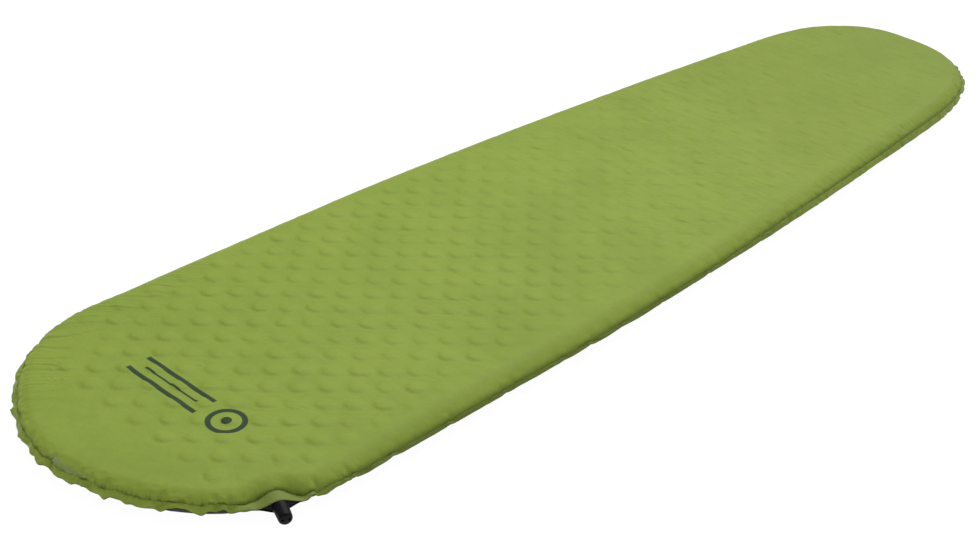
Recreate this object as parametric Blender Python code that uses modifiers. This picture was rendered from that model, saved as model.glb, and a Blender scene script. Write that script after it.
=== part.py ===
"""Self-inflating sleeping pad, full length, tapered (mummy-style) outline.

An open-cell foam core lies between two airtight fabric covers, which are
welded together in a flat flange all round at mid height.  A twist-to-open air
valve is welded into the flange beside the head end: a lens-shaped weld base
holds a threaded barrel, and a knob with a central plug screws on the barrel.

Frame: metres, +Z up, +X from the head end to the foot end.  The origin is on
the flat underside, at the middle of the outline.
"""

import math

import bmesh
import bpy
import numpy as np
from mathutils import Matrix, Vector

MM = 0.001

# ------------------------------------------------------------ main dimensions
LENGTH = 1.829              # 72 in
THICKNESS = 0.038           # 1.5 in
WIDTH = 0.508               # 20 in nominal; the outline peaks just under it
WIDEST = 0.500              # width that the side curve starts from
FOOT_RATIO = 0.6246         # side curve's width at the foot, over WIDEST
TAPER_START = -0.2447       # x where the sides start to draw in
TAPER_END = 1.0511          # x where they would reach FOOT_RATIO
TAPER_POWER = 1.5
HEAD_ROUND = 0.240          # length of the rounded head end
HEAD_POWER = 1.9168
FOOT_ROUND = 0.2587
FOOT_POWER = 2.6855

COVER = 0.5 * MM            # laminated cover fabric
GAP = 0.3 * MM              # clearance between touching pieces
MID = THICKNESS / 2         # height of the flange's mid plane
FLANGE = 9.0 * MM           # width of the welded flange
SHOULDER = 22.0 * MM        # how far the rounded edge reaches in from the weld
SHOULDER_STEPS = 5

# --------------------------------------------------------------------- valve
VALVE_X, VALVE_Y = -0.7620, -0.2280     # where its axis crosses the flange edge
VALVE_AZIMUTH = math.radians(-115.5)    # direction that the valve points
BASE_HALF_WIDTH = 24.0 * MM
BASE_HALF_HEIGHT = 7.7 * MM
BASE_LIP = 0.4 * MM                     # half thickness at the base's side tips
BASE_FRONT, BASE_BACK = 1.0 * MM, -22.0 * MM
BASE_BORE = 6.3 * MM
FLANGE_SWELL = 8.3 * MM                 # how far each cover bulges over the base
FLANGE_SWELL_HALF = 30.0 * MM
WELD_DEEPER = 14.0 * MM                 # the weld reaches further in at the base
WELD_DEEPER_HALF = 40.0 * MM

BARREL_OUTER = 6.0 * MM
BARREL_PASSAGE = 3.4 * MM
BARREL_BACK, BARREL_FRONT = -24.0 * MM, 17.0 * MM
COLLAR_OUTER = 8.2 * MM
COLLAR_BACK, COLLAR_FRONT = 1.3 * MM, 2.6 * MM
THREAD_CORE = 5.9 * MM
THREAD_CREST = 6.55 * MM
THREAD_LEAD = 3.2 * MM                  # the knob's travel for one full turn
RING_GROOVE = (8.6 * MM, 10.8 * MM, 4.9 * MM)   # back, front, floor radius

KNOB_SKIRT, KNOB_END = 3.2 * MM, 28.0 * MM
KNOB_BORE = 7.0 * MM
KNOB_ROUND = 2.9 * MM
KNOB_OUTER_BACK, KNOB_OUTER_FRONT = 9.3 * MM, 8.5 * MM
KNOB_CEILING = 25.2 * MM
PLUG_DISC = (19.9 * MM, 21.4 * MM, 5.6 * MM)    # back, front, radius
PLUG_PIN_TIP = 12.0 * MM
AIR_HOLE_RADIUS = 1.3 * MM
AIR_HOLE_OFFSET = 4.0 * MM

PLUG_SEAL = (18.45 * MM, 4.3 * MM, 1.1 * MM)    # position, ring and wire radius
BARREL_SEAL = (9.7 * MM, 5.95 * MM, 0.75 * MM)

FOAM_NOTCH_HALF = 31.0 * MM             # the core is cut away around the valve
FOAM_NOTCH_BACK = -31.0 * MM


# ---------------------------------------------------------------- start clean
for old in list(bpy.data.objects):
    bpy.data.objects.remove(old, do_unlink=True)

pad = bpy.data.collections.new("sleeping_pad")
cutters = bpy.data.collections.new("cutters")
bpy.context.scene.collection.children.link(pad)
bpy.context.scene.collection.children.link(cutters)


def material(name, colour, roughness, metallic=0.0):
    made = bpy.data.materials.new(name)
    made.use_nodes = True
    made.diffuse_color = (*colour, 1.0)
    shader = made.node_tree.nodes["Principled BSDF"]
    shader.inputs["Base Color"].default_value = (*colour, 1.0)
    shader.inputs["Roughness"].default_value = roughness
    shader.inputs["Metallic"].default_value = metallic
    return made


GREEN_FABRIC = material("green_polyester", (0.27, 0.36, 0.075), 0.72)
BLACK_FABRIC = material("black_polyester", (0.016, 0.017, 0.019), 0.78)
FOAM = material("cream_foam", (0.80, 0.74, 0.56), 0.95)
SOFT_PLASTIC = material("black_weld_plastic", (0.015, 0.016, 0.018), 0.52)
HARD_PLASTIC = material("black_valve_plastic", (0.018, 0.019, 0.022), 0.42)
SEAL_RUBBER = material("seal_rubber", (0.022, 0.022, 0.022), 0.62)


def add(name, mesh, mat, collection=pad):
    obj = bpy.data.objects.new(name, mesh)
    collection.objects.link(obj)
    if mat is not None:
        mesh.materials.append(mat)
    return obj


def as_cutter(obj):
    obj.hide_render = True
    obj.display_type = "WIRE"
    return obj


def cut(obj, cutter, name="cut"):
    step = obj.modifiers.new(name, "BOOLEAN")
    step.operation = "DIFFERENCE"
    step.object = cutter
    return step


# -------------------------------------------------------------------- outline
def half_width(x):
    """Half the pad's width, to the flange's edge, at x."""
    along = np.clip((x - TAPER_START) / (TAPER_END - TAPER_START), 0, 1)
    width = WIDEST / 2 * (1 - (1 - FOOT_RATIO) * along**TAPER_POWER)
    head = np.clip((-LENGTH / 2 + HEAD_ROUND - x) / HEAD_ROUND, 0, 1)
    foot = np.clip((x - LENGTH / 2 + FOOT_ROUND) / FOOT_ROUND, 0, 1)
    width = width * (1 - head**HEAD_POWER) ** (1 / HEAD_POWER)
    return width * (1 - foot**FOOT_POWER) ** (1 / FOOT_POWER)


def outline_ring():
    """Points of the flange's edge, anticlockwise from the head end, and their
    outward normals: close together at the valve, wide apart on the sides."""
    turn = np.linspace(0, math.pi, 4001)
    x = -LENGTH / 2 * np.cos(turn)
    low = np.stack([x, -half_width(x)], 1)
    high = low[::-1] * (1, -1)
    loop = np.concatenate([low[:-1], high[:-1]])
    step = np.roll(loop, -1, 0) - loop
    length = np.hypot(*step.T)
    tangent = np.roll(loop, -1, 0) - np.roll(loop, 1, 0)
    tangent /= np.hypot(*tangent.T)[:, None]
    normal = np.stack([tangent[:, 1], -tangent[:, 0]], 1)
    ends = (loop[:, 0] < -LENGTH / 2 + HEAD_ROUND) | (
        loop[:, 0] > LENGTH / 2 - FOOT_ROUND
    )
    spacing = np.where(ends, 25 * MM, 58 * MM)
    away = np.hypot(loop[:, 0] - VALVE_X, loop[:, 1] - VALVE_Y)
    spacing = np.minimum(spacing, 3.6 * MM + 0.35 * np.maximum(away - 30 * MM, 0))
    travelled = np.concatenate([[0], np.cumsum(length / spacing)])
    count = int(round(travelled[-1]))
    at = np.arange(count) * travelled[-1] / count
    index = np.searchsorted(travelled, at + 1e-9) - 1
    index = np.clip(index, 0, len(loop) - 1)
    part = (at - travelled[index]) / (travelled[index + 1] - travelled[index])
    after = (index + 1) % len(loop)
    points = loop[index] * (1 - part)[:, None] + loop[after] * part[:, None]
    normals = normal[index] * (1 - part)[:, None] + normal[after] * part[:, None]
    normals /= np.hypot(*normals.T)[:, None]
    return points, normals


EDGE, NORMAL = outline_ring()
VALVE_AXIS = np.array([math.cos(VALVE_AZIMUTH), math.sin(VALVE_AZIMUTH)])
VALVE_SIDE = np.array([-VALVE_AXIS[1], VALVE_AXIS[0]])
ALONG_VALVE = (EDGE - (VALVE_X, VALVE_Y)) @ VALVE_SIDE
NEAR_VALVE = (EDGE - (VALVE_X, VALVE_Y)) @ VALVE_AXIS > -60 * MM


def bell(across, half):
    """1 at the middle, falling smoothly to 0 at half on either side."""
    inside = np.clip(np.abs(across) / half, 0, 1)
    return np.where(NEAR_VALVE, 0.5 + 0.5 * np.cos(math.pi * inside), 0)


SWELL = FLANGE_SWELL * bell(ALONG_VALVE, FLANGE_SWELL_HALF)
WELD = FLANGE + WELD_DEEPER * bell(ALONG_VALVE, WELD_DEEPER_HALF)


def ring_at(depth, height):
    """One ring of points, this deep in from the flange's edge."""
    flat = EDGE - NORMAL * np.broadcast_to(depth, len(EDGE))[:, None]
    height = np.broadcast_to(height, len(EDGE))
    return [Vector((*map(float, p), float(z))) for p, z in zip(flat, height)]


def lofted(rings, fill_first):
    """A surface drawn out ring by ring, with the last ring filled flat."""
    form = bmesh.new()
    start = [form.verts.new(p) for p in rings[0]]
    edges = [
        form.edges.new((start[i], start[(i + 1) % len(start)]))
        for i in range(len(start))
    ]
    if fill_first:
        form.faces.new(start)
    order = start
    for ring in rings[1:]:
        drawn = bmesh.ops.extrude_edge_only(form, edges=edges)["geom"]
        fresh = {v for v in drawn if isinstance(v, bmesh.types.BMVert)}
        # Each old vertex has exactly one new neighbour.
        following = []
        for vert in order:
            following.append(
                next(e.other_vert(vert) for e in vert.link_edges
                     if e.other_vert(vert) in fresh)
            )
        for vert, place in zip(following, ring):
            vert.co = place
        edges = [
            form.edges.get((following[i], following[(i + 1) % len(following)]))
            for i in range(len(following))
        ]
        order = following
    form.faces.new(order)
    bmesh.ops.recalc_face_normals(form, faces=form.faces)
    return form


def finish_mesh(form, name, smooth=True, angle=35):
    mesh = bpy.data.meshes.new(name)
    form.to_mesh(mesh)
    form.free()
    if smooth:
        mesh.shade_smooth()
        mesh.set_sharp_from_angle(angle=math.radians(angle))
    return mesh


# --------------------------------------------------------------------- covers
def cover(name, side, mat):
    """One cover: side +1 above the flange's mid plane, -1 below it."""
    weld_height = GAP / 2 + SWELL
    rise = MID - COVER - weld_height
    rings = [
        ring_at(0, MID + side * weld_height),
        ring_at(WELD, MID + side * weld_height),
    ]
    for step in range(1, SHOULDER_STEPS + 1):
        angle = math.pi / 2 * step / SHOULDER_STEPS
        rings.append(
            ring_at(
                WELD + SHOULDER * (1 - math.cos(angle)),
                MID + side * (weld_height + rise * math.sin(angle)),
            )
        )
    form = lofted(rings, fill_first=False)
    # Every face looks away from the core, so that the wall grows outwards.
    face = max(form.faces, key=lambda f: f.calc_area())
    if face.normal.z * side < 0:
        bmesh.ops.reverse_faces(form, faces=form.faces)
    obj = add(name, finish_mesh(form, name), mat)
    wall = obj.modifiers.new("fabric", "SOLIDIFY")
    wall.thickness = COVER
    wall.offset = 1.0
    wall.use_even_offset = True
    return obj


cover("top_cover", +1, GREEN_FABRIC)
cover("bottom_cover", -1, BLACK_FABRIC)


# ------------------------------------------------------------------- the core
def foam_core():
    """The foam slab, with its edge pressed to a round by the covers."""
    inset = 0.6 * MM
    rise = MID - COVER - GAP
    rings = []
    for step in range(-SHOULDER_STEPS, SHOULDER_STEPS + 1):
        angle = math.pi / 2 * step / SHOULDER_STEPS
        rings.append(
            ring_at(
                WELD + inset + (SHOULDER - inset) * (1 - math.cos(angle)),
                MID + rise * math.sin(angle),
            )
        )
    form = lofted(rings, fill_first=True)
    obj = add("foam_core", finish_mesh(form, "foam_core"), FOAM)

    box = bmesh.new()
    bmesh.ops.create_cube(box, size=1.0)
    depth = 120 * MM
    bmesh.ops.scale(box, vec=(2 * FOAM_NOTCH_HALF, 0.1, depth), verts=box.verts)
    bmesh.ops.translate(
        box, vec=(0, 0, FOAM_NOTCH_BACK + depth / 2), verts=box.verts
    )
    notch = as_cutter(
        add("foam_notch", finish_mesh(box, "foam_notch", False), None, cutters)
    )
    notch.parent = valve_frame
    cut(obj, notch, "valve notch")
    return obj


# ---------------------------------------------------------------------- valve
# The valve's own frame: +Z along its axis, out of the pad, and +Y upwards.
valve_frame = bpy.data.objects.new("valve_frame", None)
pad.objects.link(valve_frame)
valve_frame.empty_display_size = 0.02
ax, ay = VALVE_AXIS
valve_frame.matrix_world = Matrix(
    (
        (-ay, 0, ax, VALVE_X),
        (ax, 0, ay, VALVE_Y),
        (0, 1, 0, MID),
        (0, 0, 0, 1),
    )
)
# The knob and its seal move out along the same axis; the knob also turns.
knob_axis = bpy.data.objects.new("knob_axis", None)
pad.objects.link(knob_axis)
knob_axis.empty_display_size = 0.015
knob_axis.parent = valve_frame

foam_core()


def turned(name, profile, mat, steps, closed=False, parent=valve_frame):
    """A profile of (radius, position) points turned about the valve's axis."""
    form = bmesh.new()
    verts = [form.verts.new((r, 0, z)) for r, z in profile]
    for first, second in zip(verts, verts[1:] + verts[:1]):
        if closed or second is not verts[0]:
            form.edges.new((first, second))
    mesh = bpy.data.meshes.new(name)
    form.to_mesh(mesh)
    form.free()
    obj = add(name, mesh, mat)
    obj.parent = parent
    screw = obj.modifiers.new("turn", "SCREW")
    screw.axis = "Z"
    screw.steps = screw.render_steps = steps
    screw.use_merge_vertices = True
    screw.merge_threshold = 0.00001
    screw.use_smooth_shade = True
    return obj


def helix_ridge(name, root, crest, start, turns, first_angle, collection=cutters):
    """A thread ridge: a small four-sided section swept along a helix."""
    inner, outer = sorted((root, crest))
    foot, tip = 0.55 * MM, 0.28 * MM
    low, high = (foot, tip) if root < crest else (tip, foot)
    form = bmesh.new()
    face = form.faces.new(
        [
            form.verts.new((inner, 0, start - low)),
            form.verts.new((outer, 0, start - high)),
            form.verts.new((outer, 0, start + high)),
            form.verts.new((inner, 0, start + low)),
        ]
    )
    bmesh.ops.rotate(
        form, verts=form.verts, cent=(0, 0, 0),
        matrix=Matrix.Rotation(first_angle, 3, "Z"),
    )
    steps = int(round(20 * turns))
    bmesh.ops.spin(
        form,
        geom=[face, *face.edges, *face.verts],
        cent=(0, 0, 0),
        axis=(0, 0, 1),
        dvec=(0, 0, THREAD_LEAD * turns / steps),
        angle=2 * math.pi * turns,
        steps=steps,
        use_duplicate=False,
    )
    bmesh.ops.remove_doubles(form, verts=form.verts, dist=1e-7)
    bmesh.ops.recalc_face_normals(form, faces=form.faces)
    mesh = bpy.data.meshes.new(name)
    form.to_mesh(mesh)
    form.free()
    ridge = as_cutter(add(name, mesh, None, collection))
    ridge.parent = valve_frame
    return ridge


def join(obj, other, name):
    step = obj.modifiers.new(name, "BOOLEAN")
    step.operation = "UNION"
    step.object = other


def cylinder(name, radius, back, front, offset=0.0, segments=32):
    form = bmesh.new()
    bmesh.ops.create_cone(
        form, cap_ends=True, segments=segments, radius1=radius, radius2=radius,
        depth=front - back,
    )
    bmesh.ops.translate(form, vec=(offset, 0, (front + back) / 2), verts=form.verts)
    obj = as_cutter(add(name, finish_mesh(form, name, False), None, cutters))
    obj.parent = valve_frame
    return obj


def valve_base():
    """The lens-shaped base that both covers are welded to, with its bore."""
    count = 16
    across = [BASE_HALF_WIDTH * (2 * i / count - 1) for i in range(count + 1)]
    height = [
        BASE_LIP
        + (BASE_HALF_HEIGHT - BASE_LIP)
        * (0.5 + 0.5 * math.cos(math.pi * t / BASE_HALF_WIDTH))
        for t in across
    ]
    form = bmesh.new()
    loop = [form.verts.new((t, h, BASE_BACK)) for t, h in zip(across, height)]
    loop += [
        form.verts.new((t, -h, BASE_BACK))
        for t, h in zip(reversed(across), reversed(height))
    ]
    face = form.faces.new(loop)
    drawn = bmesh.ops.extrude_face_region(form, geom=[face])["geom"]
    moved = [v for v in drawn if isinstance(v, bmesh.types.BMVert)]
    bmesh.ops.translate(form, vec=(0, 0, BASE_FRONT - BASE_BACK), verts=moved)
    bmesh.ops.recalc_face_normals(form, faces=form.faces)
    obj = add("valve_base", finish_mesh(form, "valve_base", angle=50), SOFT_PLASTIC)
    obj.parent = valve_frame
    bore = cylinder(
        "base_bore", BASE_BORE, BASE_BACK - 2 * MM, BASE_FRONT + 2 * MM
    )
    cut(obj, bore, "bore")


valve_base()

groove_back, groove_front, groove_floor = RING_GROOVE
barrel = turned(
    "valve_barrel",
    [
        (THREAD_CORE - 0.5 * MM, BARREL_FRONT),
        (THREAD_CORE, BARREL_FRONT - 0.5 * MM),
        (THREAD_CORE, groove_front),
        (groove_floor, groove_front),
        (groove_floor, groove_back),
        (THREAD_CORE, groove_back),
        (THREAD_CORE, COLLAR_FRONT),
        (COLLAR_OUTER, COLLAR_FRONT),
        (COLLAR_OUTER, COLLAR_BACK),
        (BARREL_OUTER, COLLAR_BACK),
        (BARREL_OUTER, BARREL_BACK + 0.8 * MM),
        (BARREL_OUTER - 0.8 * MM, BARREL_BACK),
        (BARREL_PASSAGE, BARREL_BACK),
        (BARREL_PASSAGE, BARREL_FRONT - 0.6 * MM),
        (BARREL_PASSAGE + 0.6 * MM, BARREL_FRONT),
    ],
    HARD_PLASTIC,
    steps=32,
    closed=True,
)
join(
    barrel,
    helix_ridge(
        "barrel_thread", THREAD_CORE - 0.3 * MM, THREAD_CREST, 12.4 * MM, 1.25, 0.0
    ),
    "thread",
)

disc_back, disc_front, disc_radius = PLUG_DISC
knob_profile = [(0, KNOB_END), (2.4 * MM, KNOB_END)]
for step in range(5):
    angle = math.pi / 2 * step / 4
    knob_profile.append(
        (
            KNOB_OUTER_FRONT - KNOB_ROUND * (1 - math.sin(angle)),
            KNOB_END - KNOB_ROUND * (1 - math.cos(angle)),
        )
    )
knob_profile += [
    (KNOB_OUTER_BACK, KNOB_SKIRT + 1.0 * MM),
    (KNOB_OUTER_BACK - 0.5 * MM, KNOB_SKIRT),
    (KNOB_BORE + 0.4 * MM, KNOB_SKIRT),
    (KNOB_BORE, KNOB_SKIRT + 0.4 * MM),
    (KNOB_BORE, KNOB_CEILING),
    (2.2 * MM, KNOB_CEILING),
    (2.2 * MM, disc_front),
    (disc_radius, disc_front),
    (disc_radius, disc_back),
    (2.9 * MM, disc_back),
    (2.9 * MM, BARREL_FRONT),
    (2.2 * MM, BARREL_FRONT - 1.0 * MM),
    (2.2 * MM, PLUG_PIN_TIP + 0.8 * MM),
    (1.4 * MM, PLUG_PIN_TIP),
    (0, PLUG_PIN_TIP),
]
knob = turned("valve_knob", knob_profile, HARD_PLASTIC, 40, parent=knob_axis)
join(
    knob,
    helix_ridge(
        "knob_thread", KNOB_BORE + 0.3 * MM, 6.25 * MM,
        12.4 * MM, 1.0, -math.pi,
    ),
    "thread",
)
for number, side in enumerate((1, -1), 1):
    cut(
        knob,
        cylinder(
            f"air_hole_{number}", AIR_HOLE_RADIUS, KNOB_CEILING - 1.5 * MM,
            KNOB_END + 2 * MM, side * AIR_HOLE_OFFSET, 16,
        ),
        f"air hole {number}",
    )


def seal(name, place, parent):
    position, ring, wire = place
    bpy.ops.mesh.primitive_torus_add(
        major_segments=32, minor_segments=10, major_radius=ring, minor_radius=wire
    )
    obj = bpy.context.object
    obj.name = obj.data.name = name
    for holder in list(obj.users_collection):
        holder.objects.unlink(obj)
    pad.objects.link(obj)
    obj.data.materials.append(SEAL_RUBBER)
    obj.data.shade_smooth()
    obj.parent = parent
    obj.location = (0, 0, position)


seal("valve_plug_seal", PLUG_SEAL, knob_axis)
seal("valve_barrel_seal", BARREL_SEAL, valve_frame)
bpy.context.view_layer.update()
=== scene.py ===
"""Looks of the self-inflating sleeping pad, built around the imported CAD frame.

The two fabric covers are rebuilt as fine meshes: a welded flange that waves
round the rounded ends, shoulders that pucker under a short cloth simulation,
and blisters over the core's bored holes.  The cored foam, the valve's weld
base and its knob are rebuilt in more detail than the CAD solids carry."""

import math

import bmesh
import bpy
import numpy as np
from mathutils import Matrix, Vector
from mathutils.geometry import delaunay_2d_cdt


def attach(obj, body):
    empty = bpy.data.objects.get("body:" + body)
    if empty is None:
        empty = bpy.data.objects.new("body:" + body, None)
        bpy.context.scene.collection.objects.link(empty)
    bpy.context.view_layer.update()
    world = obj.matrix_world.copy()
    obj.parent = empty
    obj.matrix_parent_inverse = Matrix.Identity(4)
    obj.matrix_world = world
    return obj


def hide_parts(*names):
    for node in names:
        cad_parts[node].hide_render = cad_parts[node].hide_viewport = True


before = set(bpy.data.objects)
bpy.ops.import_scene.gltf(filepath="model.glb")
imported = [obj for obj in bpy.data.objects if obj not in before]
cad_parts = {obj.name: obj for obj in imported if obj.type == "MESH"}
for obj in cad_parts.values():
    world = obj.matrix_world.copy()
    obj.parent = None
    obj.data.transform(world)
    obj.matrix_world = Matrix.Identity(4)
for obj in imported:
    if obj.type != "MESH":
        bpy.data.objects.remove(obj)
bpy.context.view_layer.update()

MM = 0.001

# --------------------------------------------------------------- pad geometry
LENGTH, THICKNESS, MID = 1.829, 0.038, 0.019
WIDEST, FOOT_RATIO = 0.500, 0.6246
TAPER_START, TAPER_END, TAPER_POWER = -0.2447, 1.0511, 1.5
HEAD_ROUND, HEAD_POWER = 0.240, 1.9168
FOOT_ROUND, FOOT_POWER = 0.2587, 2.6855
FLANGE, SHOULDER = 4.9 * MM, 23.5 * MM
DRAWN_IN = 1.4 * MM            # how far filling the pad pulls in its cut edge
FABRIC = 0.5 * MM
TOP_Z = 18.5 * MM               # the laid top, above the mid plane
BOTTOM_Z = 18.2 * MM            # the underside before its blisters press flat
BAND_IN = 46.0 * MM             # where the edge band meets the open middle

VALVE_AT = np.array([-0.7620, -0.2280])
VALVE_AZIMUTH = math.radians(-115.5)
VALVE_AXIS = np.array([math.cos(VALVE_AZIMUTH), math.sin(VALVE_AZIMUTH)])
VALVE_SIDE = np.array([-VALVE_AXIS[1], VALVE_AXIS[0]])

# Staggered grid of the core's bored holes.
HOLE_PITCH = 47.7 * MM          # across the pad
HOLE_ROW = 26.55 * MM           # from one row to the next, along the pad
HOLE_FIRST = np.array([-0.79985, -0.06834])
HOLE_RADIUS = 12.6 * MM


def bell(t, half):
    return 0.5 + 0.5 * np.cos(math.pi * np.clip(np.abs(t) / half, 0, 1))


def smooth(x, low, high):
    t = np.clip((x - low) / (high - low), 0, 1)
    return t * t * (3 - 2 * t)


def half_width(x):
    along = np.clip((x - TAPER_START) / (TAPER_END - TAPER_START), 0, 1)
    width = WIDEST / 2 * (1 - (1 - FOOT_RATIO) * along**TAPER_POWER)
    head = np.clip((-LENGTH / 2 + HEAD_ROUND - x) / HEAD_ROUND, 0, 1)
    foot = np.clip((x - LENGTH / 2 + FOOT_ROUND) / FOOT_ROUND, 0, 1)
    width = width * (1 - head**HEAD_POWER) ** (1 / HEAD_POWER)
    return width * (1 - foot**FOOT_POWER) ** (1 / FOOT_POWER)


def outline(spacing, head=1.0):
    """Points on the flange's edge, anticlockwise from the head end, with
    outward normals and the distance travelled. They are spaced evenly, except
    that at the head end the spacing is multiplied by head."""
    turn = np.linspace(0, math.pi, 8001)
    x = -LENGTH / 2 * np.cos(turn)
    low = np.stack([x, -half_width(x)], 1)
    high = low[::-1] * (1, -1)
    loop = np.concatenate([low[:-1], high[:-1]])
    step = np.hypot(*(np.roll(loop, -1, 0) - loop).T)
    travelled = np.concatenate([[0], np.cumsum(step)])
    total = travelled[-1]
    local = spacing * (1 - (1 - head) * smooth(-loop[:, 0], 0.58, 0.74))
    weight = np.concatenate([[0], np.cumsum(step / local)])
    count = int(round(weight[-1] / 4)) * 4
    at = np.interp(np.arange(count) * weight[-1] / count, weight, travelled)
    closed = np.concatenate([loop, loop[:1]])
    points = np.stack([np.interp(at, travelled, closed[:, k]) for k in (0, 1)], 1)
    tangent = np.roll(points, -1, 0) - np.roll(points, 1, 0)
    # A little smoothing keeps the offset rings even where arcs meet.
    reach = max(2, int(0.010 / spacing))
    kernel = np.hanning(2 * reach + 3)
    kernel /= kernel.sum()
    wrapped = np.concatenate([tangent[-reach - 1:], tangent, tangent[:reach + 1]])
    tangent = np.stack(
        [np.convolve(wrapped[:, k], kernel, "valid") for k in (0, 1)], 1
    )
    tangent /= np.hypot(*tangent.T)[:, None]
    return points, np.stack([tangent[:, 1], -tangent[:, 0]], 1), at, total


def valve_coordinates(points):
    """(distance out along the valve's axis, distance to its side)."""
    from_valve = points[..., :2] - VALVE_AT
    return from_valve @ VALVE_AXIS, from_valve @ VALVE_SIDE


# ------------------------------------------------------------ smooth 2D noise
def value_noise(x, y, cell, seed):
    """Smooth noise from -1 to 1 with features about one cell wide."""
    gx, gy = x / cell, y / cell
    ix, iy = np.floor(gx).astype(np.int64), np.floor(gy).astype(np.int64)
    fx, fy = gx - ix, gy - iy
    fx, fy = fx**3 * (fx * (6 * fx - 15) + 10), fy**3 * (fy * (6 * fy - 15) + 10)

    def corner(a, b):
        h = (a * 374761393 + b * 668265263 + seed * 2147483647) & 0xFFFFFFFF
        h = ((h ^ (h >> 13)) * 1274126177) & 0xFFFFFFFF
        return ((h ^ (h >> 16)) & 0xFFFF) / 32767.5 - 1

    low = corner(ix, iy) * (1 - fx) + corner(ix + 1, iy) * fx
    high = corner(ix, iy + 1) * (1 - fx) + corner(ix + 1, iy + 1) * fx
    return low * (1 - fy) + high * fy


def nearest_edge(points, edge):
    """(distance to the outline, index of its nearest point)."""
    best = np.empty(len(points))
    which = np.empty(len(points), int)
    for start in range(0, len(points), 4000):
        block = points[start:start + 4000]
        gap = ((block[:, None, :] - edge[None, :, :]) ** 2).sum(2)
        index = gap.argmin(1)
        which[start:start + 4000] = index
        best[start:start + 4000] = np.sqrt(gap[np.arange(len(block)), index])
    return best, which


GRID_STEP = 0.004
EDGE_COARSE, _, AT_COARSE, AROUND = outline(0.005)
_gx = np.arange(-0.93, 0.9301, GRID_STEP)
_gy = np.arange(-0.26, 0.2601, GRID_STEP)
_X, _Y = np.meshgrid(_gx, _gy, indexing="ij")
_flat = np.stack([_X.ravel(), _Y.ravel()], 1)
_D, _which = nearest_edge(_flat, EDGE_COARSE)
_inside = (np.abs(_flat[:, 0]) < LENGTH / 2) & (
    np.abs(_flat[:, 1]) < half_width(_flat[:, 0])
)
_D = np.where(_inside, _D, -_D).reshape(_X.shape)


def distance_of(x, y):
    """Signed depth inside the outline, read from a grid."""
    gx = np.clip((x - _gx[0]) / GRID_STEP, 0, len(_gx) - 1.001)
    gy = np.clip((y - _gy[0]) / GRID_STEP, 0, len(_gy) - 1.001)
    ix, iy = gx.astype(int), gy.astype(int)
    fx, fy = gx - ix, gy - iy
    return (
        _D[ix, iy] * (1 - fx) * (1 - fy) + _D[ix + 1, iy] * fx * (1 - fy)
        + _D[ix, iy + 1] * (1 - fx) * fy + _D[ix + 1, iy + 1] * fx * fy
    )


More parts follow.
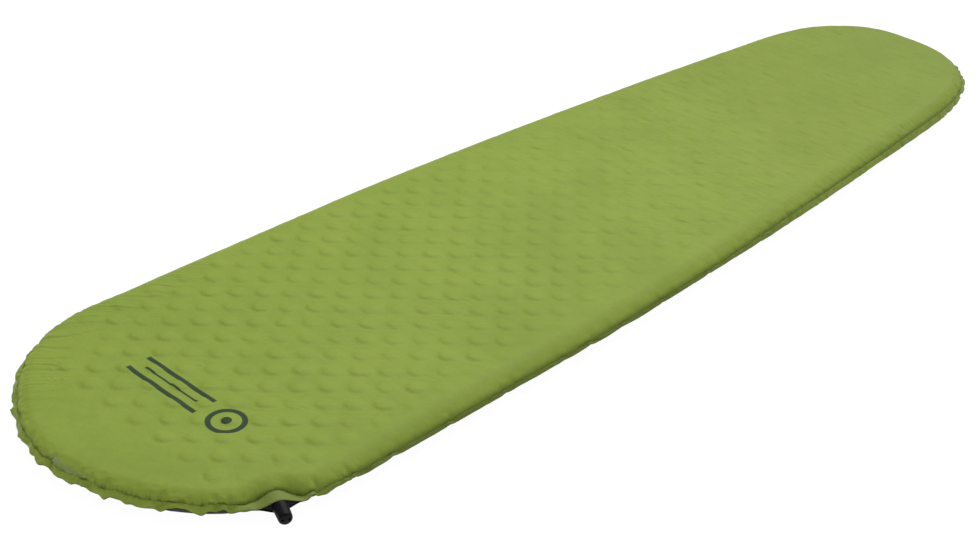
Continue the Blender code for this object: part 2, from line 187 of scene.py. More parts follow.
# ------------------------------------------------------------- the edge band
# A place on the band has a ring number w: 0 to 1 across the welded flange,
# 1 to 2 up the shoulder, and 2 to 3 over the flat to BAND_IN.
class Columns:
    """The band's cross-section at each point along the outline."""

    def __init__(self, spacing, head=1.0):
        self.edge, self.normal, self.at, self.total = outline(spacing, head)
        self.count = len(self.edge)
        s, t = valve_coordinates(self.edge)
        near = s > -0.06
        self.swell = np.where(near, 7.9 * MM * bell(t, 0.029), 0)
        # The flange hangs down a little outwards, but lies flat at the valve.
        self.away = 1 - np.where(near, np.clip(1.6 * bell(t, 0.062), 0, 1), 0)
        x, y = self.edge.T
        # At the head end the weld sits high and the flange hangs from it.
        self.droop = smooth(-x, 0.60, 0.84)
        self.droop = self.droop * (1 - np.where(near, bell(t, 0.075), 0))
        self.lift = smooth(-x, 0.825, 0.88) * smooth(-y, 0.00, 0.08) * self.away
        # The flange on the near side is wider and hangs lower towards the foot.
        self.slack = smooth(-y, 0.05, 0.13) * smooth(x, 0.02, 0.28)
        self.slack = self.slack * (1 - smooth(x, 0.74, 0.86))
        self.sag = smooth(-y, 0.12, 0.19) * smooth(-x, 0.765, 0.81) * self.away
        far = smooth(y, 0.05, 0.14)
        far = far * (smooth(-x, 0.50, 0.70) + 1.3 * smooth(x, 0.40, 0.70))
        self.weld = (
            FLANGE + 2.8 * MM * self.droop + 2.4 * MM * self.lift
            + 2.0 * MM * far + 5.0 * MM * smooth(x, 0.78, 0.89)
            + 1.8 * MM * self.slack
            + 2.2 * MM * (1 - self.away)
        )
        self.weld = self.weld + np.where(near, 12.8 * MM * bell(t, np.where(
            x < VALVE_AT[0], 0.058, 0.036)), 0)
        self.shoulder = (
            SHOULDER - 9.0 * MM * self.droop - 5.0 * MM * smooth(x, 0.45, 0.85)
        )
        self.shoulder = self.shoulder - np.where(near, 3 * MM * bell(t, 0.040), 0)
        self.waves_off = 1 - np.where(near, np.clip(1.9 * bell(t, 0.050), 0, 1), 0)
        x = self.edge[:, 0]
        self.ends = np.maximum(
            smooth(-x, 0.56, 0.76), 0.75 * smooth(x, 0.66, 0.82)
        )
        wander = value_noise(self.at, self.at * 0 + 3.1, 0.085, 21)
        self.hang = self.away * (1 + 0.35 * wander)

    def wave(self):
        """Height of the flange's own ripples at its edge."""
        a = self.at
        z0 = a * 0
        ripple = (
            value_noise(a, z0 + 0.7, 0.0118, 5) * 1.25
            + value_noise(a, z0 + 4.2, 0.0070, 6) * 0.45
            + value_noise(a, z0 + 9.3, 0.026, 7) * 0.7
        )
        side = value_noise(a, z0 + 6.1, 0.055, 8) * 0.5
        calm = 1 - self.ends
        return (
            (2.7 * MM * ripple * self.ends + 0.6 * MM * (side + 0.5 * ripple) * calm)
            * self.waves_off
        )

    def place(self, w, side):
        """(points, outward section normal) of ring w on this side, +1 top."""
        wave = self.wave()
        edge, normal = self.edge, self.normal
        zero = np.zeros(self.count)
        hang_edge = (-1.5 + 0.5 * self.droop - 3.6 * self.slack) * MM * self.hang
        hang_edge = hang_edge - 1.5 * MM * self.sag
        hang_weld = (1.3 + 5.4 * self.droop + 1.6 * self.slack) * MM * self.hang
        steep = np.maximum(self.droop, self.slack)
        base = (0.55 + (0.30 if side > 0 else 0.50) * steep) * MM + self.swell
        if w <= 1:
            start_in = DRAWN_IN * self.away + 3.6 * MM * self.lift
            depth = start_in + (self.weld - start_in) * w
            z = (
                MID + side * base + hang_edge
                + (hang_weld - hang_edge) * (1 - (1 - w) ** 1.25)
                + wave * (1 - 0.55 * w)
            )
            tilt_out, tilt_up = zero, zero + side
        else:
            start = MID + hang_weld + side * base + 0.45 * wave * (
                1 - smooth(np.array(w), 1, 1.75)
            )
            full = MID + side * (TOP_Z if side > 0 else BOTTOM_Z)
            if w <= 2:
                power = 1.34 - 0.22 * self.droop if side > 0 else (
                    1.28 + 0.08 * self.droop
                )
                angle = math.pi / 2 * (w - 1)
                c = max(0.0, math.cos(angle)) ** power
                s = max(0.0, math.sin(angle)) ** power
                bulge = 0.3 * MM * math.sin(math.pi * min(1, (w - 1) * 1.6)) ** 2
                depth = self.weld + self.shoulder * (1 - c) - bulge * self.away
                z = start + (full - start) * s
                lean = math.cos(angle)
                tilt_out = zero + lean
                tilt_up = zero + side * math.sqrt(max(0.0, 1 - lean * lean))
            else:
                inner = self.weld + self.shoulder
                depth = inner + (np.maximum(BAND_IN, inner + 3 * MM) - inner) * (w - 2)
                z = zero + full
                tilt_out, tilt_up = zero, zero + side
        if side < 0:
            # Where the flange hangs, the lower sheet lies inside the upper one.
            depth = depth + 1.0 * MM * steep * (1 - smooth(np.array(w), 1.5, 2.5))
        # Gathered cloth also draws the edge in and out a little.
        gather = self.ends * self.waves_off * value_noise(
            self.at, self.at * 0 + 2.2, 0.014, 31
        )
        pull = 2.0 * MM * gather * (1 - smooth(np.array(w), 0, 1.3))
        flat = edge - normal * (depth + pull)[:, None]
        crinkle = value_noise(self.at, self.at * 0 + 5.5 + 2.0 * w, 0.0042, 33)
        z = z + 0.75 * MM * crinkle * self.ends * self.waves_off * (
            math.exp(-(((w - 1.0) / 0.22) ** 2))
        )
        return (
            np.column_stack([flat, z]),
            np.column_stack([normal * tilt_out[:, None], tilt_up]),
            depth,
        )


def relax_band(press=1.2, grow=0.035, frames=20, cap=2.8 * MM):
    """Simulates the edge band as cloth and returns how far each of its points
    moves: ring numbers, then (top moves, bottom moves) by ring and column.

    The welded flange is a few per cent longer than the line it has to follow,
    as it is on a pad that draws in when it fills, so it buckles, and the air
    pushes the shoulders out."""
    columns = Columns(5.2 * MM)
    n = columns.count
    tops = [3.0, 2.5, 2.0, 1.84, 1.68, 1.52, 1.36, 1.18, 1.0]
    flange = [0.67, 0.34, 0.0]
    below = [3.0, 2.5, 2.0, 1.8, 1.6, 1.4, 1.2]
    rows = [columns.place(w, +1)[0] for w in tops]
    rows += [
        (columns.place(w, +1)[0] + columns.place(w, -1)[0]) / 2 for w in flange
    ]
    rows += [columns.place(w, -1)[0] for w in below]
    weld_row = len(tops) - 1
    rows[weld_row] = (columns.place(1.0, +1)[0] + columns.place(1.0, -1)[0]) / 2
    start = np.concatenate(rows)
    index = np.arange(n)
    after = (index + 1) % n

    def strip(a, b, turned):
        quads = np.stack(
            [a * n + index, a * n + after, b * n + after, b * n + index], 1
        )
        return quads[:, ::-1] if turned else quads

    first_below = len(tops) + len(flange)
    quads = [strip(k + 1, k, False) for k in range(first_below - 1)]
    quads += [
        strip(k + 1, k, True) for k in range(first_below, len(rows) - 1)
    ]
    quads.append(strip(weld_row, len(rows) - 1, True))
    mesh = bpy.data.meshes.new("band_cloth")
    mesh.from_pydata(
        [tuple(map(float, p)) for p in start], [],
        [tuple(map(int, q)) for q in np.concatenate(quads)],
    )
    mesh.update()
    obj = bpy.data.objects.new("band_cloth", mesh)
    bpy.context.scene.collection.objects.link(obj)

    ring = np.array(tops + flange + below)
    upper = np.arange(len(rows)) < first_below
    held = np.where(ring >= 2.4, 1.0, np.clip(0.85 * (ring - 1.05), 0.0, 1.0))
    pin = np.repeat(held, n)
    s, t = valve_coordinates(start)
    clamp = smooth(s, -0.050, -0.026) * (1 - smooth(np.abs(t), 0.026, 0.040))
    pin = np.maximum(pin, clamp)
    ends = np.tile(columns.ends, len(rows))
    # The straight sides are stretched tight, so they move less.
    pin = np.maximum(pin, 0.25 * (1 - ends) * (np.repeat(ring, n) <= 1.0))
    blow = np.repeat((ring > 1.05).astype(float), n)
    long = np.repeat(1 - smooth(ring, 1.0, 1.75), n) * (0.25 + 0.75 * ends)

    def group(name, values):
        made = obj.vertex_groups.new(name=name)
        values = np.round(values, 2)
        for value in np.unique(values):
            made.add(np.nonzero(values == value)[0].tolist(), float(value), "REPLACE")
        return name

    cloth = obj.modifiers.new("cloth", "CLOTH")
    setting = cloth.settings
    setting.quality = 6
    setting.mass = 0.001
    setting.tension_stiffness = setting.compression_stiffness = 25
    setting.shear_stiffness = 8
    setting.bending_model = "ANGULAR"
    setting.bending_stiffness = 0.05
    for name in ("tension", "compression", "shear"):
        setattr(setting, name + "_damping", 2)
    setting.bending_damping = 0.2
    setting.air_damping = 0.3
    setting.vertex_group_mass = group("held", pin)
    setting.pin_stiffness = 1
    setting.use_pressure = True
    setting.uniform_pressure_force = press
    setting.vertex_group_pressure = group("blown", blow)
    setting.vertex_group_shrink = group("set", 1 - long)
    setting.shrink_min, setting.shrink_max = -grow, 0
    setting.effector_weights.gravity = 0
    cloth.collision_settings.use_collision = False
    cloth.point_cache.frame_start, cloth.point_cache.frame_end = 1, frames + 2
    scene = bpy.context.scene
    scene.frame_start, scene.frame_end = 1, frames + 2
    for number in range(1, frames + 1):
        scene.frame_set(number)
    graph = bpy.context.evaluated_depsgraph_get()
    solved = obj.evaluated_get(graph).to_mesh()
    found = np.empty(len(start) * 3, np.float32)
    solved.vertices.foreach_get("co", found)
    move = found.reshape(-1, 3).astype(float) - start
    scene.frame_set(1)
    bpy.data.objects.remove(obj, do_unlink=True)
    bpy.data.meshes.remove(mesh)
    # Only the ripples are kept: the pad's outline and thickness stay put.
    window = np.hanning(2 * int(0.050 / 0.0052) + 1)
    window /= window.sum()
    spectrum = np.fft.rfft(np.roll(np.pad(window, (0, n - len(window))),
                                   -(len(window) // 2)))
    grid = move.reshape(len(rows), n, 3)
    broad = np.fft.irfft(np.fft.rfft(grid, axis=1) * spectrum[None, :, None],
                         n=n, axis=1)
    move = (grid - 0.9 * broad).reshape(-1, 3)
    far = np.linalg.norm(move, axis=1)
    assert np.isfinite(far).all(), "the cloth came apart"
    print("band cloth: median move %.2f mm, most %.2f mm before the cap"
          % (np.median(far) / MM, far.max() / MM))
    move *= (cap * np.tanh(far / cap) / np.maximum(far, 1e-9))[:, None]
    move = move.reshape(len(rows), n, 3)
    # The valve's own stretch keeps its shape.
    keep = 1 - clamp.reshape(len(rows), n)
    move *= keep[:, :, None]

    def ordered(take):
        order = sorted(take, key=lambda k: ring[k])
        return ring[order], move[order]

    top = ordered(range(first_below))
    bottom = ordered(
        list(range(weld_row, first_below)) + list(range(first_below, len(rows)))
    )
    return {+1: top, -1: bottom}


def band_move(table, side, at, total, w):
    """The simulated move at ring w, by smooth interpolation along the edge."""
    ring, move = table[side]
    k = int(np.clip(np.searchsorted(ring, w, side="right") - 1, 0, len(ring) - 2))
    part = float(np.clip((w - ring[k]) / (ring[k + 1] - ring[k]), 0, 1))
    across = move[k] * (1 - part) + move[k + 1] * part
    n = len(across)
    place = at / total * n
    i = np.floor(place).astype(int)
    f = (place - i)[:, None]
    p0, p1, p2, p3 = (across[(i + d) % n] for d in (-1, 0, 1, 2))
    return p1 + 0.5 * f * (
        p2 - p0 + f * (2 * p0 - 5 * p1 + 4 * p2 - p3 + f * (3 * (p1 - p2) + p3 - p0))
    )


# -------------------------------------------------------------- surface relief
def grid_shift(x, y):
    """How far the foam's grid is drawn out of true, mostly at the head end."""
    head = np.clip((-0.35 - x) / 0.45, 0, None) ** 2
    fade = (1 - smooth(x, 0.10, 0.55)) * MM
    return (
        (6.5 + 27.3 * y + 3.9 * head + 6.0 * x * y) * fade,
        (2.1 - 4.6 * x + 8.2 * y + 4.4 * head - 9.2 * x * y) * fade,
    )


def hole_of(row, j):
    """Centre of a bored hole, its radius, and how far its blister rises."""
    shift = (row % 2) / 2
    cx = HOLE_FIRST[0] + HOLE_ROW * row
    cy = HOLE_FIRST[1] - HOLE_PITCH * (j + shift)
    drawn_x, drawn_y = grid_shift(cx, cy)
    cx, cy = cx + drawn_x, cy + drawn_y
    first = value_noise(cx * 9.7 + 3, cy * 9.7, 0.1, 11)
    second = value_noise(cx * 9.7 + 40, cy * 9.7, 0.1, 12)
    third = value_noise(cx * 9.7 + 80, cy * 9.7 + 5, 0.1, 13)
    radius = HOLE_RADIUS * (1 + 0.10 * first)
    alive = smooth(distance_of(cx, cy), 0.034, 0.048) * (row >= 0)
    alive = alive * (1 - smooth(-cx - 0.62 * 1.0, 0.06, 0.12) * smooth(cy, 0.135, 0.160))
    rise = alive * (1.30 + 0.38 * second) * MM * (1 - 0.42 * smooth(cx, -0.25, 0.15) - 0.30 * smooth(cx, 0.15, 0.75))
    return cx, cy, radius, rise, third


def blisters(x, y):
    height = np.zeros(len(x))
    drawn_x, drawn_y = grid_shift(x, y)
    nearest = np.round((x - drawn_x - HOLE_FIRST[0]) / HOLE_ROW).astype(int)
    for row in (nearest - 1, nearest, nearest + 1):
        shift = (row % 2) / 2
        base = np.round((HOLE_FIRST[1] - y + drawn_y) / HOLE_PITCH - shift)
        cx, cy, radius, rise, turn = hole_of(row, base)
        dx, dy = x - cx, y - cy
        slant, cross = (dx - dy) / math.sqrt(2), (dx + dy) / math.sqrt(2)
        r = np.hypot(slant / 1.10, cross / 0.96) / radius
        # Steep on the side of the head end, fading out towards the foot end.
        lean = np.cos(np.arctan2(dy, dx) + 0.30 - 0.35 * turn)
        power = 3.1 - 1.75 * lean
        dome = np.clip(1 - np.maximum(r, 1e-4) ** power, 0, 1) ** 0.9
        dome = dome * (1 - 0.40 * lean * np.minimum(r, 1))
        moat = np.exp(-(((r - 1.16) / 0.15) ** 2)) * np.clip(0.15 - lean, 0, 1)
        # A crease runs on from the lower side of each blister to the next.
        tail = np.exp(-(((cross + 0.86 * radius + 0.12 * slant) / (0.20 * radius)) ** 2))
        tail = tail * smooth(slant, -0.2 * radius, 0.6 * radius) * (
            1 - smooth(slant, 1.2 * radius, 2.3 * radius)
        )
        height += rise * (dome - 0.22 * moat - 0.16 * (1 + turn) * tail)
    return height


def relief(points, depth, at, side):
    """Height of the cover's own fine shape, outwards from its plain form."""
    x, y = points[:, 0], points[:, 1]
    height = blisters(x, y)
    if side < 0:
        # The pad's weight presses the underside's blisters nearly flat.
        return np.minimum(height, 0.55 * MM)
    inner = smooth(depth, 0.026, 0.060)
    # Slack between the blisters: broad swells, and thin creases that run
    # from one blister to the next.
    height += 0.55 * MM * inner * value_noise(x, y, 0.120, 41)
    height += 0.22 * MM * inner * value_noise(x, y, 0.046, 42)
    for turn, cell, rise, seed in ((0.80, 0.0165, 0.50, 43), (0.52, 0.015, 0.36, 45)):
        u = x * math.cos(turn) + y * math.sin(turn)
        v = -x * math.sin(turn) + y * math.cos(turn)
        crease = 1 - np.abs(value_noise(u, v * 0.24, cell, seed))
        gate = smooth(value_noise(x, y, 0.085, seed + 1), -0.35, 0.7)
        height += rise * MM * inner * gate * crease**5
    # Puckers that run in from the weld, long ones on the head's far side.
    head = smooth(-x, 0.45, 0.72)
    foot = smooth(x, 0.60, 0.80)
    reach = 0.034 + 0.030 * np.clip(value_noise(at, at * 0 + 1.4, 0.05, 47), -0.6, 1)
    reach = reach + 0.030 * head * smooth(y, 0.02, 0.16)
    fade = smooth(depth, 0.008, 0.016) * (1 - smooth(depth, reach * 0.55, reach + 0.004))
    # On the long far side they run in at a slant, towards the foot end.
    slant = at + 0.95 * depth * smooth(x, -0.80, -0.68) * (y > 0)
    pucker = value_noise(slant, depth * 0.16, 0.0105, 48) + 0.6 * value_noise(
        slant + depth * 0.15, depth * 0.2, 0.0068, 49
    )
    strength = 0.16 + 0.34 * head + 0.26 * foot
    gate = 0.35 + 0.65 * smooth(value_noise(at, at * 0 + 7.7, 0.075, 50), -0.3, 0.6)
    height += MM * strength * gate * fade * pucker
    corner = smooth(-x, 0.50, 0.70) * smooth(y, 0.05, 0.14)
    fold = value_noise(slant, depth * 0.07, 0.0066, 51)
    fold = np.sign(fold) * np.abs(fold) ** 1.4
    height += 0.62 * MM * corner * fold * smooth(depth, 0.010, 0.018) * (
        1 - smooth(depth, 0.040, 0.072)
    )
    return height


# ----------------------------------------------------------------- cover mesh
FLANGE_RINGS = (0, 0.17, 0.34, 0.5, 0.67, 0.84)
SHOULDER_RINGS = (1.0, 1.05, 1.12, 1.2, 1.28, 1.37, 1.46, 1.55, 1.64, 1.73, 1.82, 1.91)
FLAT_RINGS = (2.0, 2.2, 2.4, 2.6, 2.8, 3.0)


def fill_middle(ring, inside):
    """Triangles over the middle: the ring's points first, then the inside."""
    count = len(ring)
    flat = [Vector(map(float, p)) for p in np.concatenate([ring, inside])]
    loop = [(i, (i + 1) % count) for i in range(count)]
    made = delaunay_2d_cdt(flat, loop, [], 1, 1e-7)
    assert len(made[0]) == len(flat), "triangulation changed the points"
    return np.array(made[2], dtype=np.int64)


def middle_points(grid, rings):
    """Points for the middle of a cover, closer together at each blister."""
    gx = np.arange(-LENGTH / 2, LENGTH / 2, grid)
    gy = np.arange(-0.26, 0.26, grid * math.sqrt(3) / 2)
    X, Y = np.meshgrid(gx, gy)
    X = X.copy()
    X[1::2] += grid / 2
    spread = np.stack([X.ravel(), Y.ravel()], 1)
    chosen = []
    if rings:
        taken = np.zeros(len(spread), bool)
        for row in range(0, 66):
            for j in range(-8, 9):
                cx, cy, radius, rise, _ = (
                    np.asarray(v) for v in hole_of(np.array([row]), np.array([j]))
                )
                cx, cy, radius = float(cx[0]), float(cy[0]), float(radius[0])
                if float(rise[0]) < 0.05 * MM:
                    continue
                taken |= np.hypot(spread[:, 0] - cx, spread[:, 1] - cy) < radius * (
                    rings[-1][0] + 0.16
                )
                for k, (share, count) in enumerate(rings):
                    angle = 2 * math.pi * (np.arange(count) + 0.5 * (k % 2)) / count
                    chosen.append(
                        np.stack(
                            [cx + share * radius * np.cos(angle),
                             cy + share * radius * np.sin(angle)], 1
                        )
                    )
        spread = spread[~taken]
    inside = np.concatenate([spread] + chosen)
    depth = distance_of(inside[:, 0], inside[:, 1])
    s, t = valve_coordinates(inside)
    limit = np.where(s > -0.09, BAND_IN + 12 * MM * bell(t, 0.045), BAND_IN)
    return inside[depth > limit + 2.0 * MM]


def cover(name, side, spacing, grid, rings, table, material):
    columns = Columns(spacing, 0.55)
    count = columns.count
    index = np.arange(count)
    after = (index + 1) % count

    def ring_of(w):
        points, tilt, depth = columns.place(w, side)
        if table is not None:
            points = points + band_move(table, side, columns.at, columns.total, w)
        return points, tilt, depth

    levels = FLANGE_RINGS + SHOULDER_RINGS + FLAT_RINGS
    outer, depths, ats, tilts = [], [], [], []
    for w in levels:
        points, tilt, depth = ring_of(w)
        outer.append(points)
        tilts.append(tilt)
        depths.append(depth)
        ats.append(columns.at)
    full = MID + side * (TOP_Z if side > 0 else BOTTOM_Z)
    inside = middle_points(grid, rings)
    _, which = nearest_edge(inside, EDGE_COARSE)
    tri = fill_middle(outer[-1][:, :2], inside)
    points = np.concatenate(
        outer + [np.column_stack([inside, np.full(len(inside), full)])]
    )
    depth = np.concatenate(depths + [distance_of(inside[:, 0], inside[:, 1])])
    at = np.concatenate(ats + [AT_COARSE[which]])
    tilt = np.concatenate(
        tilts + [np.tile((0.0, 0.0, float(side)), (len(inside), 1))]
    )
    lift = relief(points, depth, at, side)
    points = points + tilt * lift[:, None]
    faces_quads = [
        np.stack([k * count + index, k * count + after,
                  (k + 1) * count + after, (k + 1) * count + index], 1)
        for k in range(len(levels) - 1)
    ]
    faces_tri = [tri + (len(levels) - 1) * count]
    # The inner side is coarser, and joins the outer side at the cut edge.
    inner_levels = (0, 0.34, 0.67, 1.0, 1.36, 1.68, 2.0, 3.0)
    first_inner = len(points)
    inner = []
    for w in inner_levels:
        place, lean, _ = ring_of(w)
        inner.append(place - lean * FABRIC * (0.9 if w <= 1 else 3.0))
    coarse = middle_points(24 * MM, None)
    coarse = coarse[distance_of(coarse[:, 0], coarse[:, 1]) > BAND_IN + 14 * MM]
    inner_tri = fill_middle(inner[-1][:, :2], coarse)
    points = np.concatenate(
        [points] + inner
        + [np.column_stack([coarse, np.full(len(coarse), full - side * 1.5 * MM)])]
    )
    inner_quads = [
        np.stack([first_inner + k * count + index,
                  first_inner + (k + 1) * count + index,
                  first_inner + (k + 1) * count + after,
                  first_inner + k * count + after], 1)
        for k in range(len(inner_levels) - 1)
    ]
    rim = np.stack([index, first_inner + index, first_inner + after, after], 1)
    inner_tri = inner_tri[:, ::-1] + first_inner + (len(inner_levels) - 1) * count
    quads = np.concatenate(faces_quads + inner_quads + [rim])
    tris = np.concatenate(faces_tri + [inner_tri])
    if side < 0:
        quads, tris = quads[:, ::-1], tris[:, ::-1]
        points[:, 2] = np.maximum(points[:, 2], 0.0)
    mesh = bpy.data.meshes.new(name)
    mesh.from_pydata(
        [tuple(map(float, p)) for p in points], [],
        [tuple(map(int, q)) for q in quads] + [tuple(map(int, q)) for q in tris],
    )
    mesh.shade_smooth()
    # How far in from the cut edge each point is, for the materials.
    store = mesh.attributes.new("depth_in", "FLOAT", "POINT")
    values = np.full(len(points), 0.1, np.float32)
    values[:len(depth)] = depth
    store.data.foreach_set("value", values)
    ring_store = mesh.attributes.new("ring", "FLOAT", "POINT")
    values = np.full(len(points), 3.0, np.float32)
    values[:len(levels) * count] = np.repeat(levels, count)
    ring_store.data.foreach_set("value", values)
    store = mesh.attributes.new("along", "FLOAT", "POINT")
    values = np.zeros(len(points), np.float32)
    values[:len(at)] = at
    store.data.foreach_set("value", values)
    obj = bpy.data.objects.new(name, mesh)
    bpy.context.scene.collection.objects.link(obj)
    mesh.materials.append(material)
    print(name, len(points), "points", 2 * len(quads) + len(tris), "triangles")
    return obj


# -------------------------------------------------------------------- materials
class Nodes:
    """Short calls for building a material's node tree."""

    def __init__(self, name, colour, roughness):
        self.material = bpy.data.materials.new(name)
        self.material.use_nodes = True
        self.material.diffuse_color = (*colour, 1)
        self.tree = self.material.node_tree
        self.shader = self.tree.nodes["Principled BSDF"]
        self.shader.inputs["Base Color"].default_value = (*colour, 1)
        self.shader.inputs["Roughness"].default_value = roughness
        place = self.tree.nodes.new("ShaderNodeTexCoord")
        self.place = place.outputs["Object"]

    def link(self, source, target):
        self.tree.links.new(source, target)

    def math(self, kind, first, second=None, third=None, clamp=False):
        node = self.tree.nodes.new("ShaderNodeMath")
        node.operation = kind
        node.use_clamp = clamp
        for k, value in enumerate((first, second, third)):
            if value is None:
                continue
            if isinstance(value, (int, float)):
                node.inputs[k].default_value = value
            else:
                self.link(value, node.inputs[k])
        return node.outputs[0]

    def noise(self, scale, detail=2.0, rough=0.5, place=None, distortion=0.0):
        node = self.tree.nodes.new("ShaderNodeTexNoise")
        node.inputs["Scale"].default_value = scale
        node.inputs["Detail"].default_value = detail
        node.inputs["Roughness"].default_value = rough
        node.inputs["Distortion"].default_value = distortion
        self.link(place or self.place, node.inputs["Vector"])
        return node.outputs["Fac"]

    def stretch(self, scale, turn=0.0):
        """Coordinates turned about Z, then scaled."""
        node = self.tree.nodes.new("ShaderNodeMapping")
        node.vector_type = "TEXTURE"
        node.inputs["Scale"].default_value = [1 / value for value in scale]
        node.inputs["Rotation"].default_value = (0, 0, turn)
        self.link(self.place, node.inputs["Vector"])
        return node.outputs["Vector"]

    def lines(self, noise, width):
        """1 along the noise's middle contour, falling to 0 to each side."""
        off = self.math("ABSOLUTE", self.math("SUBTRACT", noise, 0.5))
        return self.ramp(off, 0.0, width, 1.0, 0.0)

    def ramp(self, value, low, high, out_low=0.0, out_high=1.0):
        node = self.tree.nodes.new("ShaderNodeMapRange")
        node.interpolation_type = "SMOOTHSTEP"
        for name, number in (
            ("From Min", low), ("From Max", high),
            ("To Min", out_low), ("To Max", out_high),
        ):
            node.inputs[name].default_value = number
        self.link(value, node.inputs["Value"])
        return node.outputs["Result"]

    def mix(self, share, first, second):
        node = self.tree.nodes.new("ShaderNodeMix")
        node.data_type = "RGBA"
        for socket, value in ((node.inputs[0], share), (node.inputs[6], first),
                              (node.inputs[7], second)):
            if isinstance(value, (int, float)):
                socket.default_value = value
            elif isinstance(value, tuple):
                socket.default_value = (*value, 1)
            else:
                self.link(value, socket)
        return node.outputs[2]

    def attribute(self, name):
        node = self.tree.nodes.new("ShaderNodeAttribute")
        node.attribute_name = name
        return node.outputs["Fac"]

    def joined(self, x, y, z=0.0):
        node = self.tree.nodes.new("ShaderNodeCombineXYZ")
        for k, value in enumerate((x, y, z)):
            if isinstance(value, (int, float)):
                node.inputs[k].default_value = value
            else:
                self.link(value, node.inputs[k])
        return node.outputs[0]

    def axes(self):
        node = self.tree.nodes.new("ShaderNodeSeparateXYZ")
        self.link(self.place, node.inputs[0])
        return node.outputs

    def bump(self, height, distance, strength=1.0, below=None):
        node = self.tree.nodes.new("ShaderNodeBump")
        node.inputs["Strength"].default_value = strength
        node.inputs["Distance"].default_value = distance
        self.link(height, node.inputs["Height"])
        if below is not None:
            self.link(below, node.inputs["Normal"])
        return node.outputs["Normal"]

    def weave(self, pitch):
        """A plain weave: over and under, thread by thread."""
        x, y, z = self.axes()
        # Shoulders turn the cloth on edge, so height joins both directions.
        along = self.math("MULTIPLY", self.math("ADD", x, self.math("MULTIPLY", z, 0.6)),
                          2 * math.pi / pitch)
        across = self.math("MULTIPLY", self.math("ADD", y, self.math("MULTIPLY", z, 0.6)),
                           2 * math.pi / pitch)
        over = self.math("MULTIPLY", self.math("SINE", self.math("MULTIPLY", along, 0.5)),
                         self.math("SINE", self.math("MULTIPLY", across, 0.5)))
        threads = self.math("MULTIPLY", self.math("SINE", along), 0.25)
        threads = self.math("ADD", threads, self.math("MULTIPLY",
                            self.math("SINE", across), 0.25))
        return self.math("ADD", over, threads)


